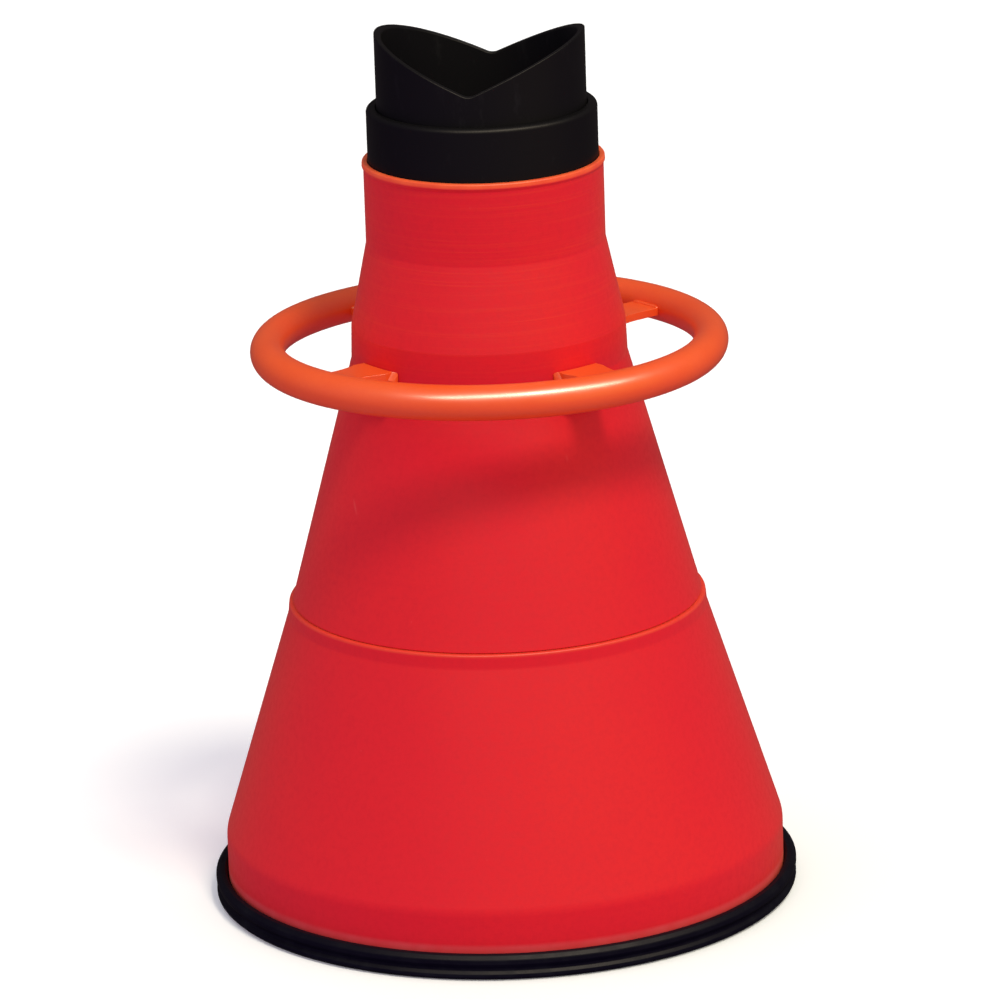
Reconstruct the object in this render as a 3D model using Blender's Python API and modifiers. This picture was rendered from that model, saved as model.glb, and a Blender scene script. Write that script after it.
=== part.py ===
"""Round support cone, in metres, +Z up, origin at the centre of the foot.

A hollow two-piece plastic cone stands on a rubber ring. Four lugs carry a round
carrying ring. A black sleeve plugs into the neck, and a tube with a V notch, which
takes a pole or a cable, turns in the sleeve. The notch runs along Y.
"""
import math

import bmesh
import bpy
from mathutils import Matrix, Vector

MM = 0.001
COLLECTION = "support_cone"

# Driving dimensions, in millimetres.
GAP = 0.3                 # clearance between pieces that touch
STEPS = 48                # facets round a large turned piece

BASE_R = 227.5            # rubber ring, outside
BASE_INNER_R = 150.0
BASE_LIP_Z = 19.5         # top of its outer lip
BASE_BEAD_Z = 14.8        # widest height of the lip
BASE_GROOVE_Z = 8.4       # shallow groove round the ring's side
BASE_GROOVE_DEPTH = 2.4
BASE_PAD_Z = 16.0         # top of its thick inner part
BASE_FLOOR = 9.3          # rubber under the skirt's flange
TREAD_R = 183.0           # groove in the ring's underside
TREAD_DEPTH = 2.0

FOOT_R = 217.5            # skirt's upright foot band, outside
FOOT_TOP = 50.5
FLANGE_R = 190.0          # inner edge of the skirt's foot flange
FLANGE_THICK = 4.0
SKIRT_WALL = 3.36         # measured level, about 3.2 square to the surface
SEAM_R = 159.0
SEAM_Z = 236.0
SEAM_BEAD = 1.8           # how far the skirt's lip stands proud

BAND_R = 106.0            # straight band behind the carrying ring
BAND_TOP_R = 105.1
BAND_Z = (428.0, 454.5)
NECK_R = 91.5
NECK_Z = 519.0
RIM_Z = 583.0
RIM_BEAD = 1.0
CONE_WALL = 3.2           # measured level
SPIGOT_DEPTH = 30.0
LEDGE_Z = 512.0           # seat of the sleeve inside the neck
LEDGE_R = 76.0
LEDGE_THICK = 4.0

RING_R = 170.0            # carrying ring, to the middle of its tube
RING_TUBE_R = 13.45
RING_WALL = 2.6
RING_Z = 435.5
VENT_R = 3.0

LUG_ANGLES = (45.0, 135.0, 225.0, 315.0)
LUG_TOP = 437.0
LUG_THICK = 6.0
LUG_WIDTH = 30.0
LUG_FLANGE_WIDTH = 42.0
LUG_FLANGE_LOW = 406.0
LUG_FLANGE_THICK = 4.0

BOLT_Z = 416.0            # where a lug bolt crosses the cone's outside
BOLT_SPREAD = 7.5         # degrees to each side of the lug
SHANK_R = 3.0             # M6
HOLE_R = 3.4
HEAD_R = 5.25
NUT_R = 5.77              # across corners, half
NUT_BORE_R = 3.75
NUT_THICK = 5.0

SCREW_COUNT = 8
SCREW_PCD_R = 203.5
SCREW_HEAD_R = 6.8
SCREW_POCKET_R = 8.0
SCREW_POCKET_DEPTH = 4.4

SLEEVE_R = 88.0
SLEEVE_TOP = 624.0
SLEEVE_SHOULDER = 7.0     # radius of its rounded top edge
SLEEVE_BORE_R = 80.6
SLEEVE_SEAT_R = 72.0
SLEEVE_SEAT_THICK = 5.7
SEAL_Z = 600.0
SEAL_HEIGHT = 6.0
SEAL_DEPTH = 3.2

CRADLE_R = 80.0           # standard 160 mm pipe
CRADLE_WALL = 5.5
NOTCH_Z = 645.6           # where the two notch faces would meet
NOTCH_SLOPE = 0.454       # rise of a notch face for each millimetre outwards
NOTCH_ROUND = 5.0

CONE_SLOPE = (SEAM_R - 0.5 - BAND_R) / (BAND_Z[0] - SEAM_Z)
SKIRT_SLOPE = (FOOT_R - SEAM_R) / (SEAM_Z - FOOT_TOP)


def clear_scene():
    """Remove whatever the file starts with."""
    for item in list(bpy.data.objects):
        bpy.data.objects.remove(item, do_unlink=True)


def new_collection(name):
    group = bpy.data.collections.new(name)
    bpy.context.scene.collection.children.link(group)
    return group


def new_material(name, colour, roughness, metallic=0.0):
    material = bpy.data.materials.new(name)
    material.use_nodes = True
    shader = material.node_tree.nodes["Principled BSDF"]
    shader.inputs["Base Color"].default_value = (*colour, 1.0)
    shader.inputs["Roughness"].default_value = roughness
    shader.inputs["Metallic"].default_value = metallic
    material.diffuse_color = (*colour, 1.0)
    return material


def add_object(name, mesh, group, material=None):
    """Put a mesh in the scene as one named piece."""
    piece = bpy.data.objects.new(name, mesh)
    group.objects.link(piece)
    if material:
        mesh.materials.append(material)
    return piece


def turned(name, outline, group, material=None, steps=STEPS, closed=True):
    """Spin an outline of (radius, height) points round Z.

    The outline runs down the outer side. It is a closed loop for a ring, and starts
    and ends on the axis for a solid piece.
    """
    mesh = bpy.data.meshes.new(name)
    points = [(radius * MM, 0.0, height * MM) for radius, height in outline]
    edges = [(i, i + 1) for i in range(len(points) - 1)]
    if closed:
        edges.append((len(points) - 1, 0))
    mesh.from_pydata(points, edges, [])
    piece = add_object(name, mesh, group, material)
    screw = piece.modifiers.new("turn", "SCREW")
    screw.axis = "Z"
    screw.angle = math.tau
    screw.steps = steps
    screw.render_steps = steps
    screw.use_merge_vertices = True
    screw.merge_threshold = 0.00001
    screw.use_smooth_shade = False
    return piece


def arc(centre, radius, start, end, count):
    """Points on an arc in the (radius, height) plane, angles in degrees."""
    angles = [math.radians(start + (end - start) * i / count) for i in range(count + 1)]
    return [(centre[0] + radius * math.cos(a), centre[1] + radius * math.sin(a)) for a in angles]


def box_mesh(name, low, high):
    """A block between two corners, in millimetres."""
    mesh = bpy.data.meshes.new(name)
    build = bmesh.new()
    bmesh.ops.create_cube(build, size=1.0)
    size = [(b - a) * MM for a, b in zip(low, high)]
    middle = [(a + b) * MM / 2 for a, b in zip(low, high)]
    bmesh.ops.transform(build, matrix=Matrix.Diagonal((*size, 1.0)), verts=build.verts)
    bmesh.ops.translate(build, vec=middle, verts=build.verts)
    build.to_mesh(mesh)
    build.free()
    return mesh


def rods_mesh(name, rods, sides=12):
    """Straight round rods: (radius, length, matrix of the rod's middle) each, in millimetres."""
    mesh = bpy.data.meshes.new(name)
    build = bmesh.new()
    for radius, length, matrix in rods:
        bmesh.ops.create_cone(build, cap_ends=True, segments=sides, radius1=radius * MM,
                              radius2=radius * MM, depth=length * MM, matrix=matrix)
    build.to_mesh(mesh)
    build.free()
    return mesh


def add_cutter(name, mesh, group):
    cutter = add_object(name, mesh, group)
    hide_cutter(cutter)
    return cutter


def hide_cutter(cutter):
    cutter.hide_render = True
    cutter.display_type = "WIRE"


def combine(piece, other, operation="DIFFERENCE"):
    """Cut, join or intersect a piece with another object."""
    boolean = piece.modifiers.new(operation.lower(), "BOOLEAN")
    boolean.operation = operation
    boolean.solver = "EXACT"
    boolean.object = other


def baked_mesh(piece):
    """The piece's finished mesh, so that its copies can share it."""
    bpy.context.view_layer.update()
    shape = piece.evaluated_get(bpy.context.evaluated_depsgraph_get())
    mesh = bpy.data.meshes.new_from_object(shape)
    mesh.name = piece.name
    bpy.data.objects.remove(piece, do_unlink=True)
    return mesh


def turn_z(degrees):
    return Matrix.Rotation(math.radians(degrees), 4, "Z")


def at_mm(x, y, z):
    return Matrix.Translation(Vector((x, y, z)) * MM)


def screw_angles():
    """The base screws sit between the lugs."""
    return [360.0 * (i + 0.5) / SCREW_COUNT for i in range(SCREW_COUNT)]


def bolt_frames():
    """A frame on the cone's outside for each lug bolt, its +Z pointing straight out."""
    radius = BAND_R + (BAND_Z[0] - BOLT_Z) * CONE_SLOPE
    tilt = Matrix.Rotation(math.pi / 2 - math.atan(CONE_SLOPE), 4, "Y")
    frames = []
    for lug in LUG_ANGLES:
        for side in (-BOLT_SPREAD, BOLT_SPREAD):
            frames.append(turn_z(lug + side) @ at_mm(radius, 0.0, BOLT_Z) @ tilt)
    return frames


def screw_rods(radius, low, high):
    """Upright rods on the base screws' places."""
    middle = (low + high) / 2
    return [(radius, high - low, turn_z(a) @ at_mm(SCREW_PCD_R, 0.0, middle))
            for a in screw_angles()]


def base_ring(group, cutters, material):
    """Moulded rubber ring: a lip round the skirt's foot, a floor under it and a thick pad."""
    inner = BASE_INNER_R
    band_gap_r = FOOT_R + GAP + 0.1
    tread = TREAD_DEPTH
    outline = [
        (band_gap_r, BASE_LIP_Z - 3.0), (band_gap_r + 2.0, BASE_LIP_Z - 0.3),
        (BASE_R - 4.1, BASE_LIP_Z), (BASE_R - 1.0, BASE_BEAD_Z + 3.0), (BASE_R, BASE_BEAD_Z),
        (BASE_R - 0.9, BASE_GROOVE_Z + 2.8), (BASE_R - BASE_GROOVE_DEPTH, BASE_GROOVE_Z),
        (BASE_R - 0.6, BASE_GROOVE_Z - 3.0), (BASE_R - 0.3, 3.0), (BASE_R - 2.7, 0.0),
        (TREAD_R + 3.0, 0.0), (TREAD_R + 2.0, tread), (TREAD_R - 2.0, tread),
        (TREAD_R - 3.0, 0.0), (inner, 0.0), (inner, BASE_PAD_Z - 2.0),
        (inner + 2.0, BASE_PAD_Z), (FLANGE_R - GAP, BASE_PAD_Z),
        (FLANGE_R - GAP, BASE_FLOOR), (band_gap_r, BASE_FLOOR),
    ]
    piece = turned("base_ring", outline, group, material)
    holes = screw_rods(HOLE_R, -2.0, BASE_FLOOR + 2.0)
    pockets = screw_rods(SCREW_POCKET_R, -2.0, SCREW_POCKET_DEPTH)
    combine(piece, add_cutter("base_holes", rods_mesh("base_holes", holes, 8), cutters))
    combine(piece, add_cutter("base_pockets", rods_mesh("base_pockets", pockets), cutters))


def lower_skirt(group, cutters, material):
    """Lower shell: foot flange, upright foot band, cone and a rounded lip."""
    floor = BASE_FLOOR + GAP
    bead_r = SEAM_R + 2.5 * SKIRT_SLOPE + SEAM_BEAD
    outline = [
        (SEAM_R - SKIRT_WALL, SEAM_Z), (SEAM_R, SEAM_Z), (bead_r - 0.4, SEAM_Z - 0.9),
        (bead_r, SEAM_Z - 2.5), (SEAM_R + 6.0 * SKIRT_SLOPE, SEAM_Z - 6.0),
        (FOOT_R, FOOT_TOP), (FOOT_R, floor), (FLANGE_R, floor),
        (FLANGE_R, floor + FLANGE_THICK), (FOOT_R - SKIRT_WALL, floor + FLANGE_THICK),
        (FOOT_R - SKIRT_WALL, FOOT_TOP),
    ]
    piece = turned("lower_skirt", outline, group, material)
    holes = screw_rods(HOLE_R, floor - 2.0, floor + FLANGE_THICK + 2.0)
    combine(piece, add_cutter("flange_holes", rods_mesh("flange_holes", holes, 8), cutters))


def upper_cone(group, cutters, material):
    """Upper shell: rim, neck, flare, band and cone, with a spigot and the sleeve's ledge."""
    neck_bore = SLEEVE_R + 0.4
    shoulder_z = SEAM_Z + GAP
    shoulder_r = SEAM_R - 0.5
    spigot_r = SEAM_R - SKIRT_WALL - 0.4
    spigot_inner = spigot_r - CONE_WALL
    inner_z = SEAM_Z + (shoulder_r - CONE_WALL - spigot_inner) / CONE_SLOPE
    flare = (BAND_TOP_R - NECK_R) / (NECK_Z - BAND_Z[1])
    under_ledge = LEDGE_Z - LEDGE_THICK
    outline = [
        (neck_bore, RIM_Z - 0.8), (neck_bore + 0.8, RIM_Z), (NECK_R - 0.6, RIM_Z),
        (NECK_R + RIM_BEAD - 0.2, RIM_Z - 1.4), (NECK_R + RIM_BEAD, RIM_Z - 3.2),
        (NECK_R, RIM_Z - 5.5), (NECK_R, NECK_Z), (BAND_TOP_R, BAND_Z[1]),
        (BAND_R, BAND_Z[0]), (shoulder_r, shoulder_z), (spigot_r, shoulder_z),
        (spigot_r, SEAM_Z - SPIGOT_DEPTH), (spigot_inner, SEAM_Z - SPIGOT_DEPTH),
        (spigot_inner, inner_z), (BAND_R - CONE_WALL, BAND_Z[0]),
        (BAND_TOP_R - CONE_WALL, BAND_Z[1]),
        (NECK_R + flare * (NECK_Z - under_ledge + 2.0) - CONE_WALL, under_ledge - 2.0),
        (LEDGE_R, under_ledge), (LEDGE_R, LEDGE_Z), (neck_bore, LEDGE_Z),
    ]
    piece = turned("upper_cone", outline, group, material)
    holes = [(HOLE_R, 24.0, frame) for frame in bolt_frames()]
    combine(piece, add_cutter("bolt_holes", rods_mesh("bolt_holes", holes, 8), cutters))


def torus(name, tube_radius, sides, group):
    """A torus on the carrying ring's centre line."""
    bpy.ops.mesh.primitive_torus_add(
        major_segments=STEPS, minor_segments=sides, major_radius=RING_R * MM,
        minor_radius=tube_radius * MM, location=(0.0, 0.0, RING_Z * MM))
    piece = bpy.context.active_object
    piece.name = name
    for owner in list(piece.users_collection):
        owner.objects.unlink(piece)
    group.objects.link(piece)
    return piece


def handle_ring(group, cutters, material):
    """Carrying ring: a bent and welded steel tube with two vent holes underneath."""
    piece = torus("handle_ring", RING_TUBE_R, 12, group)
    piece.data.materials.append(material)
    hollow = torus("ring_hollow", RING_TUBE_R - RING_WALL, 8, cutters)
    hide_cutter(hollow)
    combine(piece, hollow)
    vents = [(VENT_R, 12.0, turn_z(a) @ at_mm(RING_R, 0.0, RING_Z - RING_TUBE_R))
             for a in (93.75, 273.75)]
    combine(piece, add_cutter("ring_vents", rods_mesh("ring_vents", vents, 8), cutters))


def lug_mesh(group, cutters):
    """One lug: a level tab that meets the ring, and a flange that lies on the cone."""
    low = LUG_FLANGE_LOW
    low_r = BAND_R + (BAND_Z[0] - low) * CONE_SLOPE + GAP
    bend_r = BAND_R + GAP
    thick = LUG_FLANGE_THICK
    outline = [
        (bend_r, LUG_TOP), (bend_r + thick, LUG_TOP), (bend_r + thick, BAND_Z[0] + 0.6),
        (low_r + thick, low), (low_r, low), (bend_r, BAND_Z[0]),
    ]
    lug = turned("lug", outline, group)
    half = LUG_FLANGE_WIDTH / 2
    wedge = box_mesh("lug_flange_width", (60.0, -half, low - 5.0), (140.0, half, LUG_TOP + 5.0))
    combine(lug, add_cutter("lug_flange_width", wedge, cutters), "INTERSECT")
    half = LUG_WIDTH / 2
    tab = box_mesh("lug_tab", (bend_r + 1.5, -half, LUG_TOP - LUG_THICK),
                   (RING_R - 4.0, half, LUG_TOP))
    combine(lug, add_cutter("lug_tab", tab, cutters), "UNION")
    saddle = torus("lug_saddle", RING_TUBE_R + GAP, 12, cutters)
    hide_cutter(saddle)
    combine(lug, saddle)
    turn_back = turn_z(-LUG_ANGLES[0])
    holes = [(HOLE_R, 24.0, turn_back @ frame) for frame in bolt_frames()[:2]]
    combine(lug, add_cutter("lug_holes", rods_mesh("lug_holes", holes, 8), cutters))
    return baked_mesh(lug)


def handle_lugs(group, cutters, material):
    mesh = lug_mesh(group, cutters)
    mesh.materials.append(material)
    for number, angle in enumerate(LUG_ANGLES, 1):
        lug = bpy.data.objects.new(f"handle_lug_{number}", mesh)
        lug.matrix_world = turn_z(angle)
        group.objects.link(lug)


def fastener_mesh(name, outline, steps, group, closed):
    return baked_mesh(turned(name, outline, group, None, steps, closed))


def place_copies(name, mesh, matrices, group, material):
    """One object for each place, all with the same mesh."""
    mesh.materials.append(material)
    for number, matrix in enumerate(matrices, 1):
        piece = bpy.data.objects.new(f"{name}_{number}", mesh)
        piece.matrix_world = matrix
        group.objects.link(piece)


def lug_fasteners(group, material):
    """Button-head bolts through lug and cone, with nuts inside."""
    seat = LUG_FLANGE_THICK + 2 * GAP
    tip = -(CONE_WALL + NUT_THICK + 3.0)
    bolt = [(0.0, seat + 3.2), (2.6, seat + 3.2), (HEAD_R, seat + 1.4), (HEAD_R, seat),
            (SHANK_R, seat), (SHANK_R, tip), (0.0, tip)]
    frames = bolt_frames()
    mesh = fastener_mesh("lug_bolt", bolt, 8, group, False)
    place_copies("lug_bolt", mesh, frames, group, material)
    top = -(CONE_WALL + 0.75)
    nut = [(NUT_BORE_R, top), (NUT_R, top), (NUT_R, top - NUT_THICK),
           (NUT_BORE_R, top - NUT_THICK)]
    mesh = fastener_mesh("lug_nut", nut, 6, group, True)
    place_copies("lug_nut", mesh, frames, group, material)


def base_fasteners(group, material):
    """Pan-head screws up through rubber and flange, with nuts on the flange."""
    seat = SCREW_POCKET_DEPTH - GAP
    flange_top = BASE_FLOOR + GAP + FLANGE_THICK
    tip = flange_top + NUT_THICK + 2.0
    screw = [(0.0, tip), (SHANK_R, tip), (SHANK_R, seat), (SCREW_HEAD_R, seat),
             (SCREW_HEAD_R, seat - 1.6), (4.6, seat - 3.2), (0.0, seat - 3.2)]
    places = [turn_z(a) @ at_mm(SCREW_PCD_R, 0.0, 0.0) for a in screw_angles()]
    mesh = fastener_mesh("base_screw", screw, 8, group, False)
    place_copies("base_screw", mesh, places, group, material)
    low = flange_top + GAP
    nut = [(NUT_BORE_R, low + NUT_THICK), (NUT_R, low + NUT_THICK), (NUT_R, low),
           (NUT_BORE_R, low)]
    mesh = fastener_mesh("base_nut", nut, 6, group, True)
    place_copies("base_nut", mesh, places, group, material)


def neck_sleeve(group, material):
    """Black collar that plugs into the neck, with a seat and a seal groove inside."""
    bottom = LEDGE_Z + GAP
    corner = (SLEEVE_R - SLEEVE_SHOULDER, SLEEVE_TOP - SLEEVE_SHOULDER)
    shoulder = arc(corner, SLEEVE_SHOULDER, 90.0, 0.0, 3)
    bore = SLEEVE_BORE_R
    half = SEAL_HEIGHT / 2
    outline = shoulder + [
        (SLEEVE_R, bottom), (SLEEVE_SEAT_R, bottom),
        (SLEEVE_SEAT_R, bottom + SLEEVE_SEAT_THICK), (bore, bottom + SLEEVE_SEAT_THICK),
        (bore, SEAL_Z - half), (bore + SEAL_DEPTH, SEAL_Z - half),
        (bore + SEAL_DEPTH, SEAL_Z + half), (bore, SEAL_Z + half),
        (bore, SLEEVE_TOP - 0.5),
    ]
    turned("neck_sleeve", outline, group, material)


def sleeve_seal(group, material):
    """Rubber ring in the sleeve's groove: it holds the tube where it is turned."""
    inner = CRADLE_R + GAP
    outer = SLEEVE_BORE_R + SEAL_DEPTH - GAP
    top = SEAL_Z + SEAL_HEIGHT / 2 - GAP
    low = SEAL_Z - SEAL_HEIGHT / 2 + GAP
    turned("sleeve_seal", [(inner, top), (outer, top), (outer, low), (inner, low)],
           group, material)


def pole_cradle(group, cutters, material):
    """Black tube whose top end is cut to a V along Y."""
    bottom = LEDGE_Z + SLEEVE_SEAT_THICK + 2 * GAP
    top = NOTCH_Z + NOTCH_SLOPE * CRADLE_R
    bore = CRADLE_R - CRADLE_WALL
    outline = [(CRADLE_R, top), (CRADLE_R, bottom), (bore, bottom), (bore, top)]
    piece = turned("pole_cradle", outline, group, material)
    combine(piece, notch_cutter(cutters))


def notch_cutter(cutters):
    """A long wedge, its lower edge rounded, that takes the V out of the tube."""
    reach = CRADLE_R + 20.0
    wedge = bpy.data.meshes.new("notch")
    build = bmesh.new()
    corners = [(0.0, NOTCH_Z), (reach, NOTCH_Z + NOTCH_SLOPE * reach),
               (-reach, NOTCH_Z + NOTCH_SLOPE * reach)]
    points = [build.verts.new(Vector((x, -reach, z)) * MM) for x, z in corners]
    front = build.faces.new(points)
    swept = bmesh.ops.extrude_face_region(build, geom=[front])
    moved = [item for item in swept["geom"] if isinstance(item, bmesh.types.BMVert)]
    bmesh.ops.translate(build, vec=(0.0, 2 * reach * MM, 0.0), verts=moved)
    low = [edge for edge in build.edges if all(v.co.z < (NOTCH_Z + 1.0) * MM for v in edge.verts)]
    bmesh.ops.bevel(build, geom=low, offset=NOTCH_ROUND * MM, segments=3, profile=0.5,
                    affect="EDGES")
    bmesh.ops.recalc_face_normals(build, faces=build.faces)
    build.to_mesh(wedge)
    build.free()
    return add_cutter("notch", wedge, cutters)


def build_cone():
    clear_scene()
    parts = new_collection(COLLECTION)
    cutters = new_collection("cutters")
    base_ring(parts, cutters, new_material("black_rubber", (0.010, 0.011, 0.012), 0.62))
    orange = new_material("orange_plastic", (0.80, 0.030, 0.024), 0.42)
    lower_skirt(parts, cutters, orange)
    upper_cone(parts, cutters, orange)
    paint = new_material("orange_paint", (0.85, 0.075, 0.022), 0.24)
    handle_ring(parts, cutters, paint)
    handle_lugs(parts, cutters, paint)
    steel = new_material("zinc_steel", (0.60, 0.60, 0.58), 0.38, 1.0)
    lug_fasteners(parts, steel)
    base_fasteners(parts, steel)
    black = new_material("black_plastic", (0.008, 0.008, 0.010), 0.48)
    neck_sleeve(parts, black)
    sleeve_seal(parts, new_material("seal_rubber", (0.012, 0.012, 0.012), 0.7))
    pole_cradle(parts, cutters, black)


build_cone()
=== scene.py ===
"""Visual model of a round support cone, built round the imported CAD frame.

Every fine piece replaces one CAD node and takes its place and size from that node's box.
Outlines are given in millimetres and meshes are made in metres. +Z is up, and the notch in
the black tube runs along Y.
"""
import math

import bmesh
import bpy
from mathutils import Matrix, Vector, noise


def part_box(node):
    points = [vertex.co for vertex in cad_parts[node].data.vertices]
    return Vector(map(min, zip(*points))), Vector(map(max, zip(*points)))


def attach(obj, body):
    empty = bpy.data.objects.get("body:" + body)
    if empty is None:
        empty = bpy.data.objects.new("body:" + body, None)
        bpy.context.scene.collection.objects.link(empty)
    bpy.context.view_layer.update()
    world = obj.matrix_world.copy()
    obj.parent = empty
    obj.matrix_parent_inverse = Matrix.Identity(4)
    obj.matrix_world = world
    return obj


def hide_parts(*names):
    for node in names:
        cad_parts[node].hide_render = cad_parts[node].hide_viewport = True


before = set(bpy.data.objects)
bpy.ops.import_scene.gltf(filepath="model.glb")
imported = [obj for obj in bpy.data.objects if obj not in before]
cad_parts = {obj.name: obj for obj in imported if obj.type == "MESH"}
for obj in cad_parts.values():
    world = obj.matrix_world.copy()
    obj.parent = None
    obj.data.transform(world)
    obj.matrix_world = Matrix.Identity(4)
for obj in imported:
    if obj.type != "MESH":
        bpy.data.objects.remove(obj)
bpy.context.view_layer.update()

MM = 0.001
AROUND = 240              # columns round a large turned piece

AIM_Z = 350.0             # height that the lamps look at

# The world's light by what meets it: matt surfaces from above and below, mirrors, the eye.
LIGHT_ABOVE = (0.66, 0.68, 0.73)
LIGHT_BELOW = (0.60, 0.30, 0.74)
LIGHT_MIRRORED = (0.09, 0.075, 0.08)
LIGHT_SEEN = (0.92, 0.92, 0.92)

# The frame's own sizes, in millimetres.


def size_of(node):
    """A node's lowest and highest corner, in millimetres."""
    low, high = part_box(node)
    return low / MM, high / MM


base_high = size_of("base_ring")[1]
skirt_low, skirt_high = size_of("lower_skirt")
cone_low, cone_high = size_of("upper_cone")
ring_low, ring_high = size_of("handle_ring")
lug_high = size_of("handle_lug_1")[1]
sleeve_low, sleeve_high = size_of("neck_sleeve")
seal_low, seal_high = size_of("sleeve_seal")
tube_low, tube_high = size_of("pole_cradle")

BASE_R = base_high.x
BASE_TOP = base_high.z
FOOT_R = skirt_high.x
SKIRT_LOW = skirt_low.z
SEAM_Z = skirt_high.z
SPIGOT_LOW = cone_low.z
RIM_Z = cone_high.z
RING_TUBE_R = (ring_high.z - ring_low.z) / 2
RING_Z = (ring_high.z + ring_low.z) / 2
RING_R = ring_high.x - RING_TUBE_R
LUG_TOP = lug_high.z
SLEEVE_R = sleeve_high.x
SLEEVE_TOP = sleeve_high.z
TUBE_R = tube_high.x

# Shapes inside those boxes, as in the CAD source, in millimetres.
GAP = 0.3
SKIRT_WALL = 3.36
FOOT_TOP = 50.5
FLANGE_R = 190.0
FLANGE_THICK = 4.0
SEAM_R = 159.0
LIP_RUN = 10.8            # how far the seam's lip blends down the skirt
LIP_FILLET = 12.0
FOOT_FILLET = 26.0        # where the cone meets the upright foot band
BAND_R = 106.0
BAND_TOP_R = 105.1
BAND_LOW = 428.0
BAND_HIGH = 454.5
NECK_R = 91.5
NECK_Z = 519.0
CONE_WALL = 3.2
LEDGE_Z = 512.0
LEDGE_R = 76.0
LUG_THICK = 6.0
LUG_FLANGE_THICK = 4.0
LUG_FLANGE_LOW = 406.0
LUG_HALF = 15.0           # half width of a lug's tab at the ring
LUG_ROOT_HALF = 18.2      # and where it starts to bend down
LUG_FLANGE_HALF = 21.0
LUG_WIDENS_AT = 136.0     # distance from the axis
LUG_WIDEN_RUN = 19.0
LUG_CORNER = 8.0
LUG_BEND_BACK = 2.2
LUG_BEND_FRONT = 2.5
WELD_HALF = 14.6
WELD_R = 1.9
RING_WALL = 2.6
VENT_R = 3.0
VENT_ANGLES = (93.75, 273.75)
BOLT_Z = 416.0
BOLT_SPREAD = 7.5         # degrees to each side of a lug's middle
SCREW_COUNT = 8
SCREW_PCD_R = 203.5
HOLE_R = 3.4
BOLT_HOLE_REACH = 12.0
POCKET_R = 8.0
POCKET_DEPTH = 4.4
NUT_THICK = 5.0
NUT_FLAT_R = 5.0
NUT_BORE_R = 3.1
NUT_MOUTH_R = 3.7
NUT_RIDGE = 0.5
THREAD_R = 2.95
THREAD_DEPTH = 0.55
KEY_HALF = 2.0            # half the width of a screw's hexagon socket
HEAD_HIGH = 3.2
BOLT_HEAD_R = 5.25
BOLT_LENGTH = 16.0
SCREW_HEAD_R = 6.8
SCREW_LENGTH = 16.3
SLEEVE_BORE = 80.6
SEAT_R = 72.0
SEAT_THICK = 5.7
SEAL_GROOVE_R = 83.8
SEAL_GROOVE = (597.0, 603.0)
BASE_BORE_R = 150.0
BASE_INNER_TOP = 16.0
TUBE_WALL = 5.5
TUBE_EDGE = 1.1
NOTCH_Z = 645.6
NOTCH_SLOPE = 0.454
NOTCH_ROUND = 5.0
CONE_SLOPE = (SEAM_R - 0.5 - BAND_R) / (BAND_LOW - SEAM_Z)
SKIRT_SLOPE = (FOOT_R - SEAM_R) / (SEAM_Z - FOOT_TOP)


# Meshes

def rounded(corners, steps=6, closed=True):
    """Points of an outline whose (radius, height, fillet) corners are rounded."""
    points = []
    last = len(corners) - 1
    for i, (radius, height, fillet) in enumerate(corners):
        if fillet <= 0 or (not closed and i in (0, last)):
            points.append((radius, height))
            continue
        corner = Vector((radius, height))
        back = Vector(corners[i - 1][:2]) - corner
        ahead = Vector(corners[(i + 1) % len(corners)][:2]) - corner
        half = back.angle(ahead) / 2
        reach = min(fillet / math.tan(half), 0.48 * back.length, 0.48 * ahead.length)
        start = corner + back.normalized() * reach
        end = corner + ahead.normalized() * reach
        middle = (back.normalized() + ahead.normalized()).normalized()
        centre = corner + middle * (reach / math.cos(half))
        first = math.atan2(*(start - centre).yx)
        sweep = math.atan2(*(end - centre).yx) - first
        sweep = (sweep + math.pi) % math.tau - math.pi
        arc_r = (start - centre).length
        for k in range(steps + 1):
            angle = first + sweep * k / steps
            points.append((centre.x + arc_r * math.cos(angle),
                           centre.y + arc_r * math.sin(angle)))
    return points


def circle(radius, height, tube, count):
    """A round outline about a point of the (radius, height) plane."""
    return [(radius + tube * math.cos(math.tau * i / count),
             height + tube * math.sin(math.tau * i / count)) for i in range(count)]


def spun(name, outline, steps=AROUND, closed=True):
    """A solid of revolution. The outline is a list, or a function of the angle."""
    build = bmesh.new()
    columns = []
    axis = {}
    for i in range(steps):
        angle = math.tau * i / steps
        column = []
        points = outline(angle) if callable(outline) else outline
        for j, (radius, height) in enumerate(points):
            spot = Vector((radius * math.cos(angle), radius * math.sin(angle), height)) * MM
            if radius < 1e-6:
                if j not in axis:
                    axis[j] = build.verts.new(spot)
                column.append(axis[j])
            else:
                column.append(build.verts.new(spot))
        columns.append(column)
    for i in range(steps):
        here, there = columns[i], columns[(i + 1) % steps]
        for j in range(len(here) if closed else len(here) - 1):
            k = (j + 1) % len(here)
            corners = list(dict.fromkeys((here[j], there[j], there[k], here[k])))
            build.faces.new(corners)
    return to_mesh(name, build)


def to_mesh(name, build):
    """A mesh with its faces turned outwards."""
    bmesh.ops.recalc_face_normals(build, faces=build.faces)
    mesh = bpy.data.meshes.new(name)
    build.to_mesh(mesh)
    build.free()
    return mesh


def joined(name, meshes):
    """One mesh from several closed ones."""
    build = bmesh.new()
    for mesh in meshes:
        build.from_mesh(mesh)
    whole = bpy.data.meshes.new(name)
    build.to_mesh(whole)
    build.free()
    return whole


def rod(radius, low, high, sides=32):
    """An upright round rod, as a mesh."""
    outline = [(0.0, low), (radius, low), (radius, high), (0.0, high)]
    return spun("rod", outline, sides, False)


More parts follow.
